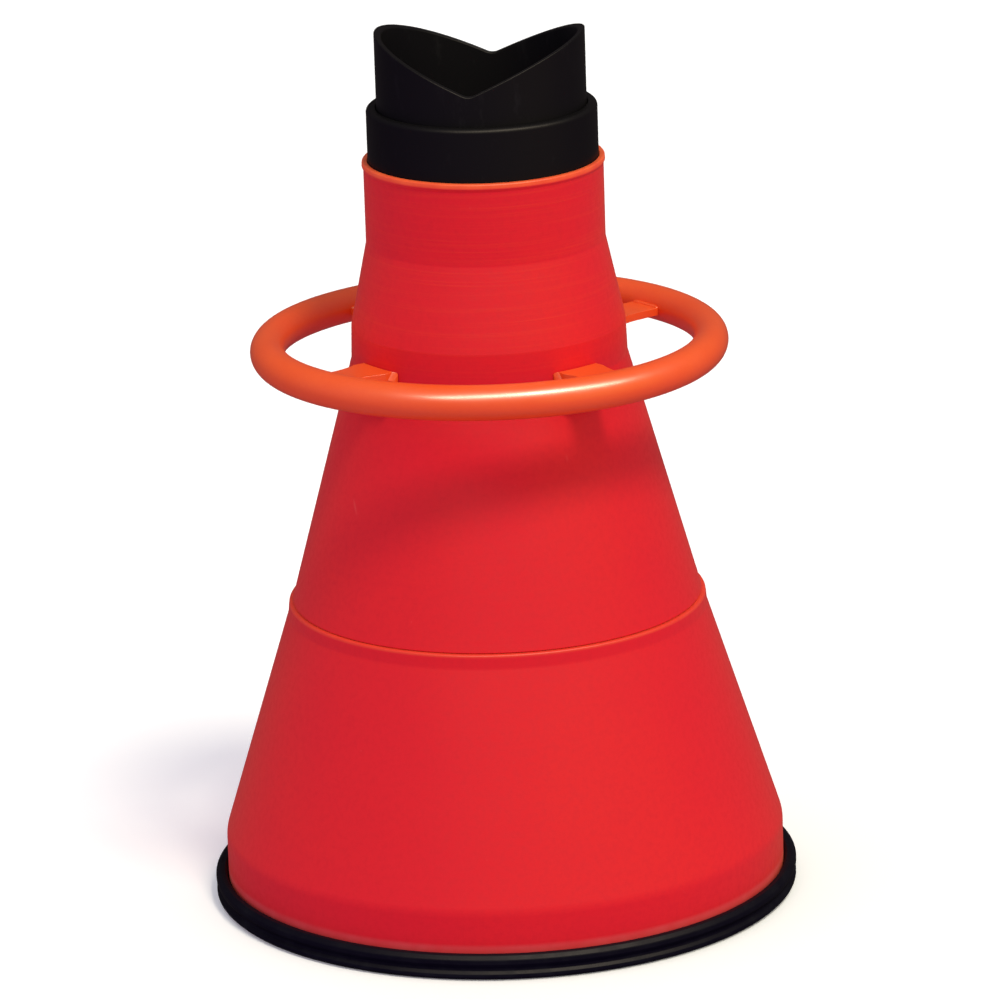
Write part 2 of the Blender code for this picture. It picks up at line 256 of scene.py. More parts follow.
def changed(mesh, *modifiers):
    """The mesh after modifiers, each given as a kind and its settings."""
    holder = bpy.data.objects.new("holder", mesh)
    bpy.context.scene.collection.objects.link(holder)
    for kind, settings in modifiers:
        modifier = holder.modifiers.new(kind.lower(), kind)
        for key, value in settings.items():
            setattr(modifier, key, value)
    bpy.context.view_layer.update()
    shape = holder.evaluated_get(bpy.context.evaluated_depsgraph_get())
    result = bpy.data.meshes.new_from_object(shape)
    result.name = mesh.name
    bpy.data.objects.remove(holder, do_unlink=True)
    return result


def carved(mesh, tools):
    """The mesh with tools taken out of it."""
    cutter = bpy.data.objects.new("cutter", joined("cutter", tools))
    bpy.context.scene.collection.objects.link(cutter)
    settings = {"operation": "DIFFERENCE", "solver": "EXACT", "object": cutter}
    result = changed(mesh, ("BOOLEAN", settings))
    bpy.data.objects.remove(cutter, do_unlink=True)
    return result


def moved(mesh, matrix):
    copy = mesh.copy()
    copy.transform(matrix)
    return copy


def turn_z(degrees):
    return Matrix.Rotation(math.radians(degrees), 4, "Z")


def at_mm(x, y, z):
    return Matrix.Translation(Vector((x, y, z)) * MM)


def cone_r(z):
    """The upper shell's outer radius at a height below its band."""
    return BAND_R + (BAND_LOW - z) * CONE_SLOPE


# Materials

class Look:
    """A Principled material with a pattern built from nodes. Colours are linear."""

    def __init__(self, name, colour, roughness, **sockets):
        self.material = bpy.data.materials.new(name)
        self.material.use_nodes = True
        self.tree = self.material.node_tree
        self.shader = self.tree.nodes["Principled BSDF"]
        self.shader.inputs["Base Color"].default_value = (*colour, 1.0)
        self.shader.inputs["Roughness"].default_value = roughness
        for socket, value in sockets.items():
            self.shader.inputs[socket.replace("_", " ")].default_value = value
        self.colour = (*colour, 1.0)
        self.place = self.add("ShaderNodeTexCoord").outputs["Object"]
        self.normal = None

    def add(self, kind, settings=None, **inputs):
        node = self.tree.nodes.new(kind)
        for key, value in (settings or {}).items():
            setattr(node, key, value)
        for key, value in inputs.items():
            self.feed(value, node.inputs[key])
        return node

    def feed(self, value, socket):
        if isinstance(value, bpy.types.NodeSocket):
            self.tree.links.new(value, socket)
        else:
            socket.default_value = value

    def noise(self, scale, detail=2.0, stretch=(1.0, 1.0, 1.0), rough=0.5):
        """Noise over the object's own coordinates, in cycles a metre."""
        spread = self.add("ShaderNodeMapping", Vector=self.place, Scale=stretch)
        return self.add("ShaderNodeTexNoise", Vector=spread.outputs["Vector"], Scale=scale,
                        Detail=detail, Roughness=rough).outputs["Fac"]

    def cells(self, scale, stretch=(1.0, 1.0, 1.0), lean=(0.0, 0.0, 0.0)):
        """Distance to the nearest of many scattered points, in cells a metre."""
        turned = self.add("ShaderNodeMapping", Vector=self.place, Rotation=lean)
        spread = self.add("ShaderNodeMapping", Vector=turned.outputs["Vector"], Scale=stretch)
        return self.add("ShaderNodeTexVoronoi", Vector=spread.outputs["Vector"],
                        Scale=scale).outputs["Distance"]

    def scratches(self, scale, lean):
        """Short thin marks, ten times as long as wide."""
        marks = self.range(self.cells(scale, (1.0, 1.0, 0.08), lean), 0.050, 0.015)
        wear_and_highlight = self.range(self.noise(17.0, 2.0), 0.50, 0.62)
        return self.maths("MULTIPLY", marks, wear_and_highlight)

    def strip(self, height, low, high, fade):
        """1 between two heights, fading out above and below."""
        up = self.range(height, low - fade, low, smooth=True)
        down = self.range(height, high, high + fade, 1.0, 0.0, smooth=True)
        return self.maths("MULTIPLY", up, down)

    def range(self, value, low, high, to_low=0.0, to_high=1.0, smooth=False):
        """Map a value from one range to another."""
        node = self.add("ShaderNodeMapRange")
        if smooth:
            node.interpolation_type = "SMOOTHSTEP"
        for socket, given in zip(node.inputs[:5], (value, low, high, to_low, to_high)):
            self.feed(given, socket)
        return node.outputs["Result"]

    def maths(self, kind, first, second=0.0):
        node = self.add("ShaderNodeMath", {"operation": kind})
        self.feed(first, node.inputs[0])
        self.feed(second, node.inputs[1])
        return node.outputs["Value"]

    def height(self):
        """How high a point is in the object, in metres."""
        return self.add("ShaderNodeSeparateXYZ", Vector=self.place).outputs["Z"]

    def tint(self, mask, colour):
        """Lay another colour over the base colour where the mask is 1."""
        node = self.add("ShaderNodeMix", {"data_type": "RGBA"})
        self.feed(mask, node.inputs["Factor"])
        self.feed(self.colour, node.inputs[6])
        self.feed((*colour, 1.0), node.inputs[7])
        self.colour = node.outputs[2]

    def bump(self, height, strength, depth):
        """Raise the surface where the height is 1, by depth in metres."""
        node = self.add("ShaderNodeBump", Height=height, Strength=strength, Distance=depth)
        if self.normal:
            self.feed(self.normal, node.inputs["Normal"])
        self.normal = node.outputs["Normal"]

    def done(self, roughness=None):
        if isinstance(self.colour, bpy.types.NodeSocket):
            self.feed(self.colour, self.shader.inputs["Base Color"])
        if roughness is not None:
            self.feed(roughness, self.shader.inputs["Roughness"])
        if self.normal:
            self.feed(self.normal, self.shader.inputs["Normal"])
        return self.material


def orange_plastic():
    """Satin plastic: grain, mottling, turned lines high up, worn lips with a painted
    highlight, dust low down.
    """
    look = Look("orange_plastic", (0.715, 0.0095, 0.0200), 0.44, Specular_IOR_Level=0.15,
                Sheen_Weight=0.14, Sheen_Roughness=0.45, Sheen_Tint=(1.0, 0.42, 0.14, 1.0))
    slow = look.noise(7.0, 3.0)
    look.tint(look.range(slow, 0.35, 0.7, 0.0, 0.6), (0.745, 0.014, 0.0165))
    mottle = look.noise(190.0, 4.0, rough=0.65)
    look.tint(look.range(mottle, 0.42, 0.8, 0.0, 0.75), (0.65, 0.007, 0.0165))
    height = look.height()
    lines = look.noise(1.0, 3.0, (5.0, 5.0, 620.0), 0.7)
    high_up = look.range(height, 0.425, 0.455, 0.15, 1.0, smooth=True)
    turned = look.maths("MULTIPLY", look.range(lines, 0.5, 0.75), high_up)
    look.tint(look.maths("MULTIPLY", turned, 0.40), (0.79, 0.040, 0.016))
    # Painted highlight along the rim and the seam's lip, partly edge wear: a paler orange band
    # by height, broken up by noise.
    rim = look.strip(height, (RIM_Z - 2.2) * MM, RIM_Z * MM, 0.0026)
    seam = look.strip(height, (SEAM_Z - 1.6) * MM, (SEAM_Z + 0.1) * MM, 0.0008)
    lips = look.maths("MAXIMUM", rim, look.maths("MULTIPLY", seam, 0.32))
    patchy = look.range(look.noise(60.0, 4.0), 0.25, 0.6, 0.55, 0.9)
    wear_and_highlight = look.maths("MULTIPLY", lips, patchy)
    look.tint(wear_and_highlight, (0.92, 0.130, 0.032))
    foot = look.strip(height, (BASE_TOP - 1.0) * MM, (BASE_TOP + 2.6) * MM, 0.004)
    dust = look.maths("MULTIPLY", foot, look.range(look.noise(70.0, 5.0), 0.2, 0.7, 0.5, 1.0))
    look.tint(look.maths("MULTIPLY", dust, 0.42), (0.72, 0.115, 0.12))
    scuffs = look.maths("MAXIMUM", look.scratches(33.0, (0.5, 0.35, 0.0)),
                        look.scratches(47.0, (-0.7, 0.2, 0.4)))
    look.tint(look.maths("MULTIPLY", scuffs, 0.34), (0.80, 0.10, 0.08))
    look.bump(look.noise(30.0, 2.0), 0.12, 0.0008)
    look.bump(look.noise(900.0, 2.0), 0.10, 0.00025)
    look.bump(turned, 0.30, 0.00015)
    rough = look.range(mottle, 0.3, 0.75, 0.38, 0.50)
    rough = look.maths("ADD", rough, look.maths("MULTIPLY", dust, 0.2))
    return look.done(look.maths("ADD", rough, look.maths("MULTIPLY", scuffs, 0.12)))


def orange_paint():
    """Gloss powder coat: slow and fine mottling, and a slight orange peel."""
    look = Look("orange_paint", (0.89, 0.090, 0.007), 0.36, Coat_Weight=0.3,
                Coat_Roughness=0.24)
    slow = look.noise(22.0, 2.0)
    look.tint(look.range(slow, 0.2, 0.8, 0.0, 0.7), (0.91, 0.108, 0.008))
    mottle = look.range(look.noise(260.0, 3.0), 0.3, 0.8)
    look.tint(look.maths("MULTIPLY", mottle, 0.3), (0.84, 0.070, 0.007))
    look.bump(look.noise(300.0, 0.0), 0.04, 0.0002)
    return look.done(look.range(look.noise(34.0, 2.0), 0.2, 0.8, 0.32, 0.40))


def black_plastic():
    """Satin extruded pipe: faint draw lines along it, fine grain and greyed scuffs."""
    look = Look("black_plastic", (0.0052, 0.0048, 0.0066), 0.50, Specular_IOR_Level=0.07)
    draw = look.noise(1.0, 3.0, (420.0, 420.0, 5.0), 0.6)
    scuffs = look.range(look.noise(60.0, 5.0, (1.0, 1.0, 0.3), 0.75), 0.58, 0.72)
    look.tint(look.maths("MULTIPLY", scuffs, 0.30), (0.014, 0.014, 0.017))
    look.bump(look.noise(1100.0, 2.0), 0.12, 0.0002)
    look.bump(draw, 0.15, 0.00012)
    return look.done(look.range(scuffs, 0.0, 1.0, 0.46, 0.60))


def black_rubber():
    """Matt moulded rubber with fine pitting and road dust low down."""
    look = Look("black_rubber", (0.0032, 0.0028, 0.0088), 0.54, Specular_IOR_Level=0.06)
    dusty = look.range(look.noise(46.0, 5.0, rough=0.7), 0.45, 0.8)
    low = look.range(look.height(), 0.022, 0.0, 0.25, 1.0)
    dust = look.maths("MULTIPLY", dusty, low)
    look.tint(look.maths("MULTIPLY", dust, 0.22), (0.026, 0.034, 0.038))
    pits = look.cells(620.0)
    look.bump(look.range(pits, 0.0, 0.5), 0.25, 0.0002)
    look.bump(look.noise(90.0, 3.0), 0.15, 0.0004)
    return look.done(look.range(dusty, 0.0, 1.0, 0.46, 0.66))


def seal_rubber():
    """Smooth rubber with a slight bloom."""
    look = Look("seal_rubber", (0.011, 0.011, 0.012), 0.5)
    bloom = look.range(look.noise(150.0, 4.0), 0.45, 0.75)
    look.tint(look.maths("MULTIPLY", bloom, 0.4), (0.030, 0.030, 0.032))
    look.bump(look.noise(800.0, 2.0), 0.15, 0.0002)
    return look.done(look.range(bloom, 0.0, 1.0, 0.42, 0.6))


def zinc_steel():
    """Zinc plated steel: fine brushing, dull blotches and a little yellow passivation."""
    look = Look("zinc_steel", (0.62, 0.62, 0.61), 0.34, Metallic=1.0)
    blotch = look.range(look.noise(300.0, 3.0), 0.4, 0.7)
    look.tint(look.maths("MULTIPLY", blotch, 0.5), (0.58, 0.55, 0.46))
    look.bump(look.noise(1.0, 2.0, (900.0, 900.0, 3000.0)), 0.12, 0.0001)
    return look.done(look.range(blotch, 0.0, 1.0, 0.28, 0.46))


# Pieces

def add_piece(name, mesh, material, body, node, matrix=None, sharp=38.0):
    """Put one smooth piece in the scene in place of its CAD node."""
    mesh.materials.clear()
    mesh.materials.append(material)
    mesh.shade_smooth()
    mesh.set_sharp_from_angle(angle=math.radians(sharp))
    piece = bpy.data.objects.new(name, mesh)
    if matrix:
        piece.matrix_world = matrix
    bpy.context.scene.collection.objects.link(piece)
    normals = piece.modifiers.new("normals", "WEIGHTED_NORMAL")
    normals.keep_sharp = True
    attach(piece, body)
    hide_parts(node)
    return piece


def screw_angles():
    return [360.0 * (i + 0.5) / SCREW_COUNT for i in range(SCREW_COUNT)]


def screw_places():
    return [turn_z(angle) @ at_mm(SCREW_PCD_R, 0.0, 0.0) for angle in screw_angles()]


def lug_angles():
    """Each lug's direction from the axis, read from its node's box."""
    angles = []
    for number in range(1, 5):
        low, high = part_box(f"handle_lug_{number}")
        middle = (low + high) / 2
        angles.append(math.degrees(math.atan2(middle.y, middle.x)))
    return angles


def bolt_frames():
    """A frame on the cone's outside for each lug bolt, its +Z pointing straight out."""
    tilt = Matrix.Rotation(math.pi / 2 - math.atan(CONE_SLOPE), 4, "Y")
    return [turn_z(lug + side) @ at_mm(cone_r(BOLT_Z), 0.0, BOLT_Z) @ tilt
            for lug in lug_angles() for side in (-BOLT_SPREAD, BOLT_SPREAD)]


def bolt_holes(places):
    """Rods that cut the bolts' holes."""
    rods = rod(HOLE_R, -BOLT_HOLE_REACH, BOLT_HOLE_REACH)
    return [moved(rods, place) for place in places]


def groove_corners(inner, outer, slant, depth):
    """Corners of a groove under the rubber ring, from its outer edge in."""
    return [(outer, 0.0, 0.3), (outer - slant, depth, slant / 2),
            (inner + slant, depth, slant / 2), (inner, 0.0, 0.3)]


def base_ring(material):
    """Rubber ring: rounded lip, groove round its side, grooves and screw pockets below."""
    lip_r = FOOT_R + GAP + 0.1
    floor = SKIRT_LOW - GAP
    flange = FLANGE_R - GAP
    outline = rounded([
        (lip_r, floor, 0.5), (lip_r, BASE_TOP - 3.4, 0.6), (lip_r + 2.2, BASE_TOP, 1.2),
        (BASE_R - 3.2, BASE_TOP, 2.2), (BASE_R, BASE_TOP - 3.2, 2.4),
        (BASE_R, BASE_TOP - 6.6, 2.0), (BASE_R - 2.4, BASE_TOP - 10.2, 1.2),
        (BASE_R - 2.4, BASE_TOP - 12.2, 1.2), (BASE_R - 0.3, BASE_TOP - 14.6, 1.2),
        (BASE_R - 0.3, 2.6, 1.4), (BASE_R - 3.0, 0.0, 1.6),
        *groove_corners(214.0, 217.6, 0.8, 1.2), *groove_corners(190.0, 193.6, 0.8, 1.2),
        *groove_corners(180.0, 186.0, 1.0, 2.0),
        (BASE_BORE_R, 0.0, 1.2), (BASE_BORE_R, BASE_INNER_TOP, 2.5),
        (flange, BASE_INNER_TOP, 0.8), (flange, floor, 0.4),
    ], 5)
    mesh = spun("base_ring", outline)
    mouth_r = POCKET_R + 0.8
    pocket = rounded([
        (0.0, -3.0, 0.0), (mouth_r, -3.0, 0.0), (mouth_r, -0.4, 0.0), (POCKET_R, 0.8, 0.6),
        (POCKET_R, POCKET_DEPTH, 0.8), (0.0, POCKET_DEPTH, 0.0),
    ], 4, False)
    tools = [moved(spun("pocket", pocket, 40, False), place) for place in screw_places()]
    mesh = carved(mesh, tools)
    mesh = carved(mesh, [moved(rod(HOLE_R, 2.0, 12.0), place) for place in screw_places()])
    add_piece("rubber_ring", mesh, material, "cone", "base_ring")


def lower_skirt(material):
    """Lower shell: foot flange, upright foot band, cone and a rounded lip."""
    flange_top = SKIRT_LOW + FLANGE_THICK
    under_lip_r = SEAM_R + LIP_RUN * SKIRT_SLOPE
    foot_inner = FOOT_R - SKIRT_WALL
    outline = rounded([
        (SEAM_R - SKIRT_WALL, SEAM_Z, 0.5), (SEAM_R + 2.2, SEAM_Z, 1.7),
        (SEAM_R + 2.7, SEAM_Z - 3.2, 1.6), (under_lip_r, SEAM_Z - LIP_RUN, LIP_FILLET),
        (FOOT_R, FOOT_TOP, FOOT_FILLET), (FOOT_R, SKIRT_LOW, 0.8),
        (FLANGE_R, SKIRT_LOW, 0.8), (FLANGE_R, flange_top, 0.8),
        (foot_inner, flange_top, 2.5), (foot_inner, FOOT_TOP, 7.0),
    ])
    mesh = spun("lower_skirt", outline)
    holes = [moved(rod(HOLE_R, SKIRT_LOW - 3.0, flange_top + 3.0), place)
             for place in screw_places()]
    mesh = carved(mesh, holes)
    add_piece("skirt_shell", mesh, material, "cone", "lower_skirt")


def upper_cone(material):
    """Upper shell: beaded rim, neck, flare, band and cone, spigot and ledge inside."""
    bore = SLEEVE_R + 0.4
    shoulder_z = SEAM_Z + GAP
    shoulder_r = SEAM_R - 0.5
    spigot_r = SEAM_R - SKIRT_WALL - 0.4
    spigot_inner = spigot_r - CONE_WALL
    inner_z = SEAM_Z + (shoulder_r - CONE_WALL - spigot_inner) / CONE_SLOPE
    flare = (BAND_TOP_R - NECK_R) / (NECK_Z - BAND_HIGH)
    under_ledge = LEDGE_Z - 4.0
    outline = rounded([
        (bore, RIM_Z, 0.7), (NECK_R + 1.0, RIM_Z, 1.6), (NECK_R + 1.2, RIM_Z - 4.0, 1.6),
        (NECK_R, RIM_Z - 6.4, 2.5), (NECK_R, NECK_Z, 9.0), (BAND_TOP_R, BAND_HIGH, 3.5),
        (BAND_R, BAND_LOW, 8.0), (shoulder_r, shoulder_z, 0.7), (spigot_r, shoulder_z, 0.4),
        (spigot_r, SPIGOT_LOW, 0.8), (spigot_inner, SPIGOT_LOW, 0.8),
        (spigot_inner, inner_z, 6.0), (BAND_R - CONE_WALL, BAND_LOW, 6.0),
        (BAND_TOP_R - CONE_WALL, BAND_HIGH, 4.0),
        (NECK_R + flare * (NECK_Z - under_ledge + 2.0) - CONE_WALL, under_ledge - 2.0, 1.5),
        (LEDGE_R, under_ledge, 0.8), (LEDGE_R, LEDGE_Z, 0.8), (bore, LEDGE_Z, 0.6),
    ])
    mesh = spun("upper_cone", outline)
    mesh = carved(mesh, bolt_holes(bolt_frames()))
    add_piece("cone_shell", mesh, material, "cone", "upper_cone")


def carrying_ring(material):
    """Hollow bent tube with two vent holes underneath."""
    outer = spun("handle_ring", circle(RING_R, RING_Z, RING_TUBE_R, 48), 300)
    hollow = spun("hollow", circle(RING_R, RING_Z, RING_TUBE_R - RING_WALL, 24), 150)
    mesh = carved(outer, [hollow])
    vents = [moved(rod(VENT_R, -7.0, 7.0), turn_z(angle) @ at_mm(RING_R, 0.0, ring_low.z))
             for angle in VENT_ANGLES]
    mesh = carved(mesh, vents)
    add_piece("carrying_ring", mesh, material, "cone", "handle_ring")


def lug_stations():
    """Back and front points and half width along a lug, from the ring down the cone."""
    back_r = BAND_R + GAP
    front_r = back_r + LUG_FLANGE_THICK
    under = LUG_TOP - LUG_THICK
    ring_end = RING_R - RING_TUBE_R - 0.1
    stations = []
    for x in (ring_end, 150.0, 143.0, 136.0, 129.0, 122.0, 115.0):
        widen = max(0.0, (LUG_WIDENS_AT - x) / LUG_WIDEN_RUN)
        half = LUG_HALF + (LUG_ROOT_HALF - LUG_HALF) * widen * widen
        stations.append(((x, LUG_TOP), (x, under), half))
    for k in range(7):
        angle = math.pi / 2 * k / 6
        away, down = 1 - math.sin(angle), 1 - math.cos(angle)
        back = (back_r + LUG_BEND_BACK * away, LUG_TOP - LUG_BEND_BACK * down)
        front = (front_r + LUG_BEND_FRONT * away, under - LUG_BEND_FRONT * down)
        half = LUG_FLANGE_HALF - (LUG_FLANGE_HALF - LUG_ROOT_HALF) * away
        stations.append((back, front, half))
    for z in (427.0, 423.0, 419.0, 416.0, 414.0, 412.0, 410.0, 408.4, 407.2, 406.4, 406.0):
        back = (cone_r(z) + GAP, z)
        short = max(0.0, LUG_CORNER - (z - LUG_FLANGE_LOW))
        half = LUG_FLANGE_HALF - LUG_CORNER + math.sqrt(LUG_CORNER ** 2 - short ** 2)
        stations.append((back, (back[0] + LUG_FLANGE_THICK, z), half))
    return stations


def lug_mesh():
    """One lug: a tab from the ring that bends down into a flange lying on the cone."""
    build = bmesh.new()
    columns = 18
    sides = ([], [])
    stations = lug_stations()
    for i, (back, front, half) in enumerate(stations):
        wrap = min(1.0, max(0.0, (i - 5) / 6))
        for side, (x, z) in enumerate((back, front)):
            row = []
            for j in range(columns + 1):
                across = half * (2 * j / columns - 1)
                reach = math.sqrt(x * x - across * across)
                if i == 0:
                    spot = (reach, across)
                else:
                    angle = across / x
                    spot = (x + (x * math.cos(angle) - x) * wrap,
                            across + (x * math.sin(angle) - across) * wrap)
                row.append(build.verts.new(Vector((*spot, z)) * MM))
            sides[side].append(row)
    back, front = sides
    last = len(stations) - 1
    for i in range(last):
        for j in range(columns):
            for rows in sides:
                here, there = rows[i], rows[i + 1]
                build.faces.new((here[j], here[j + 1], there[j + 1], there[j]))
        for j in (0, columns):
            build.faces.new((back[i][j], back[i + 1][j], front[i + 1][j], front[i][j]))
    for j in range(columns):
        for i in (0, last):
            build.faces.new((back[i][j], back[i][j + 1], front[i][j + 1], front[i][j]))
    mesh = to_mesh("lug", build)
    bevel = {"width": 0.9 * MM, "segments": 3, "limit_method": "ANGLE",
             "angle_limit": math.radians(50.0)}
    mesh = changed(mesh, ("BEVEL", bevel))
    turn_back = turn_z(-lug_angles()[0])
    return carved(mesh, bolt_holes([turn_back @ place for place in bolt_frames()[:2]]))


def weld_mesh():
    """Weld beads, with their ripples, above and below the joint of a tab and the ring."""
    build = bmesh.new()
    reach = RING_R - RING_TUBE_R
    length, sides = 64, 12
    for height in (LUG_TOP - 0.1, LUG_TOP - LUG_THICK + 0.3):
        rows = []
        for i in range(length + 1):
            t = 2 * i / length - 1
            across = WELD_HALF * t
            uneven = noise.noise(Vector((i * 0.7, height, 0)))
            ripple = 0.09 * math.sin(i * 1.35) + 0.08 * uneven
            bead = WELD_R * math.sqrt(max(0.02, 1 - t ** 8)) * (1.0 + ripple)
            middle = Vector((math.sqrt(reach * reach - across * across) - 0.3, across, height))
            row = []
            for k in range(sides):
                angle = math.tau * k / sides
                about = Vector((bead * math.cos(angle), 0.0, bead * 0.8 * math.sin(angle)))
                row.append(build.verts.new((middle + about) * MM))
            rows.append(row)
        for i in range(length):
            for k in range(sides):
                m = (k + 1) % sides
                build.faces.new((rows[i][k], rows[i][m], rows[i + 1][m], rows[i + 1][k]))
        build.faces.new(rows[0])
        build.faces.new(rows[-1])
    return to_mesh("weld", build)


def lugs(material):
    mesh = joined("lug", [lug_mesh(), weld_mesh()])
    for number, angle in enumerate(lug_angles(), 1):
        add_piece(f"ring_lug_{number}", mesh, material, "cone", f"handle_lug_{number}",
                  turn_z(angle))


def threaded(radius, start, end):
    """Outline points of a thread, going from start to end, with 1 mm between its ridges."""
    points = []
    way = 1.0 if end > start else -1.0
    for i in range(int(abs(end - start))):
        points += [(radius - THREAD_DEPTH, start + way * i), (radius, start + way * (i + 0.5))]
    return points


def from_flat(angle):
    """Angle to the middle of the nearest flat of a hexagon."""
    return (angle + math.pi / 6) % (math.pi / 3) - math.pi / 6


def socket_screw(name, head_r, head, shank):
    """Button-head screw pointing down from its seat at 0, with a hexagon socket."""
    def outline(angle):
        key = KEY_HALF / math.cos(from_flat(angle))
        dome = rounded([(key + 0.25, head, 0.0), (head_r * 0.62, head, 1.0),
                        (head_r, head * 0.38, 1.2), (head_r, 0.0, 0.3), (3.0, 0.0, 0.0)],
                       5, False)
        return ([(0.0, head - 2.2), (key, head - 2.0), (key, head - 0.25)] + dome
                + [(THREAD_R, -6.0)] + threaded(THREAD_R, -6.4, -shank + 1.0)
                + [(2.2, -shank), (0.0, -shank)])
    return spun(name, outline, 48, False)


def hex_nut(name):
    """Chamfered nut, its lower face at 0, with a threaded bore."""
    bore = [(NUT_BORE_R + NUT_RIDGE * (k % 2), 0.6 + 0.5 * k) for k in range(8)]
    flat = NUT_FLAT_R * 0.93
    high = NUT_THICK

    def outline(angle):
        edge = NUT_FLAT_R / math.cos(from_flat(angle))
        drop = 0.15 + (edge - flat) * 0.5
        return ([(NUT_MOUTH_R, 0.0), (flat, 0.0), (edge, drop), (edge, high - drop),
                 (flat, high), (NUT_MOUTH_R, high)] + bore[::-1])
    return spun(name, outline, 60)


def fasteners(material):
    """Bolts and nuts of the lugs, and screws and nuts of the rubber ring."""
    bolt = socket_screw("lug_bolt", BOLT_HEAD_R, HEAD_HIGH, BOLT_LENGTH)
    screw = socket_screw("base_screw", SCREW_HEAD_R, HEAD_HIGH, SCREW_LENGTH)
    nut = hex_nut("nut")
    seat = at_mm(0.0, 0.0, LUG_FLANGE_THICK + 2 * GAP)
    inside = at_mm(0.0, 0.0, -(CONE_WALL + 0.75) - NUT_THICK)
    for number, place in enumerate(bolt_frames(), 1):
        add_piece(f"lug_bolt_{number}_fine", bolt, material, "cone", f"lug_bolt_{number}",
                  place @ seat)
        add_piece(f"lug_nut_{number}_fine", nut, material, "cone", f"lug_nut_{number}",
                  place @ inside)
    over = Matrix.Rotation(math.pi, 4, "X")
    head_z = POCKET_DEPTH - GAP
    nut_z = SKIRT_LOW + FLANGE_THICK + GAP
    for number, place in enumerate(screw_places(), 1):
        add_piece(f"base_screw_{number}_fine", screw, material, "cone", f"base_screw_{number}",
                  place @ at_mm(0.0, 0.0, head_z) @ over)
        add_piece(f"base_nut_{number}_fine", nut, material, "cone", f"base_nut_{number}",
                  place @ at_mm(0.0, 0.0, nut_z))


def collar(material):
    """Black sleeve: rounded shoulder, seat inside for the tube and a groove for the seal."""
    low = sleeve_low.z
    seat_z = low + SEAT_THICK
    groove_low, groove_high = SEAL_GROOVE
    outline = rounded([
        (SLEEVE_BORE, SLEEVE_TOP, 0.9), (SLEEVE_R, SLEEVE_TOP, 6.5), (SLEEVE_R, low, 1.6),
        (SEAT_R, low, 0.8), (SEAT_R, seat_z, 0.8), (SLEEVE_BORE, seat_z, 0.6),
        (SLEEVE_BORE, groove_low, 0.3), (SEAL_GROOVE_R, groove_low, 0.3),
        (SEAL_GROOVE_R, groove_high, 0.3), (SLEEVE_BORE, groove_high, 0.3),
    ], 10)
    mesh = spun("neck_sleeve", outline)
    add_piece("collar", mesh, material, "sleeve", "neck_sleeve")


def seal(material):
    """Rubber ring with a round back and a soft lip towards the tube."""
    inner, outer = TUBE_R + GAP, seal_high.x
    outline = rounded([(inner, seal_high.z - 1.4, 1.0), (outer, seal_high.z, 1.0),
                       (outer, seal_low.z, 1.0), (inner, seal_low.z + 1.4, 1.0)])
    mesh = spun("sleeve_seal", outline)
    add_piece("seal_ring", mesh, material, "sleeve", "sleeve_seal")


def notch_top(x):
    """Height of the notch's rounded V at a distance from its middle."""
    slant = math.atan(NOTCH_SLOPE)
    bend = NOTCH_ROUND / math.tan(slant)
    if abs(x) >= NOTCH_ROUND * math.cos(slant):
        return NOTCH_Z + NOTCH_SLOPE * abs(x)
    return NOTCH_Z + bend / math.cos(slant) - math.sqrt(bend * bend - x * x)


def v_tube(material):
    """Black tube whose top end is cut to a V, its edges softened."""
    low = tube_low.z
    inner = TUBE_R - TUBE_WALL
    soft = TUBE_EDGE

    def outline(angle):
        points = []
        for wall, way in ((TUBE_R, -1.0), (inner, 1.0)):
            edge = []
            for k in range(5):
                turn = math.pi / 2 * k / 4
                radius = wall + way * soft * (1 - math.cos(turn))
                drop = soft * (1 - math.sin(turn))
                edge.append((radius, notch_top(radius * math.cos(angle)) - drop))
            points += edge if way < 0 else edge[::-1]
        top = notch_top(inner * math.cos(angle)) - soft
        points += [(inner, low + (top - low) * k / 4) for k in (3, 2, 1)]
        points += [(inner, low + 1.0), (inner + 1.0, low), (TUBE_R - 1.0, low),
                   (TUBE_R, low + 1.0)]
        top = notch_top(TUBE_R * math.cos(angle)) - soft
        points += [(TUBE_R, low + (top - low) * k / 4) for k in (1, 2, 3)]
        return points

    mesh = spun("pole_cradle", outline, 360)
    add_piece("v_tube", mesh, material, "cradle", "pole_cradle")


# Scene

def camera():
    """The photo's view: a long lens, a little above the object and right of its notch."""
    side = 7.2
    distance, height = 4.8135, 1.7289
    pitch, yaw, roll = (math.radians(a) for a in (16.4248, 0.0518, -1.8600))
    forward = Vector((math.sin(yaw) * math.cos(pitch), math.cos(yaw) * math.cos(pitch),
                      -math.sin(pitch)))
    right = Vector((math.cos(yaw), -math.sin(yaw), 0.0))
    up = right.cross(forward)
    tilted_right = math.cos(roll) * right + math.sin(roll) * up
    tilted_up = math.cos(roll) * up - math.sin(roll) * right
    axes = Matrix((tilted_right, tilted_up, -forward)).transposed().to_4x4()
    data = bpy.data.cameras.new("camera")
    data.sensor_width = 36.0
    data.lens = 6.5 * data.sensor_width
    data.clip_end = 200.0
    eye = bpy.data.objects.new("camera", data)
    eye.matrix_world = turn_z(side) @ Matrix.Translation((0.0, -distance, height)) @ axes
    bpy.context.scene.collection.objects.link(eye)
    bpy.context.scene.camera = eye


def direction(azimuth, elevation):
    """Where a lamp stands. Azimuth 0 is in front, and + is to the right."""
    a, e = math.radians(azimuth), math.radians(elevation)
    return Vector((math.sin(a) * math.cos(e), -math.cos(a) * math.cos(e), math.sin(e)))


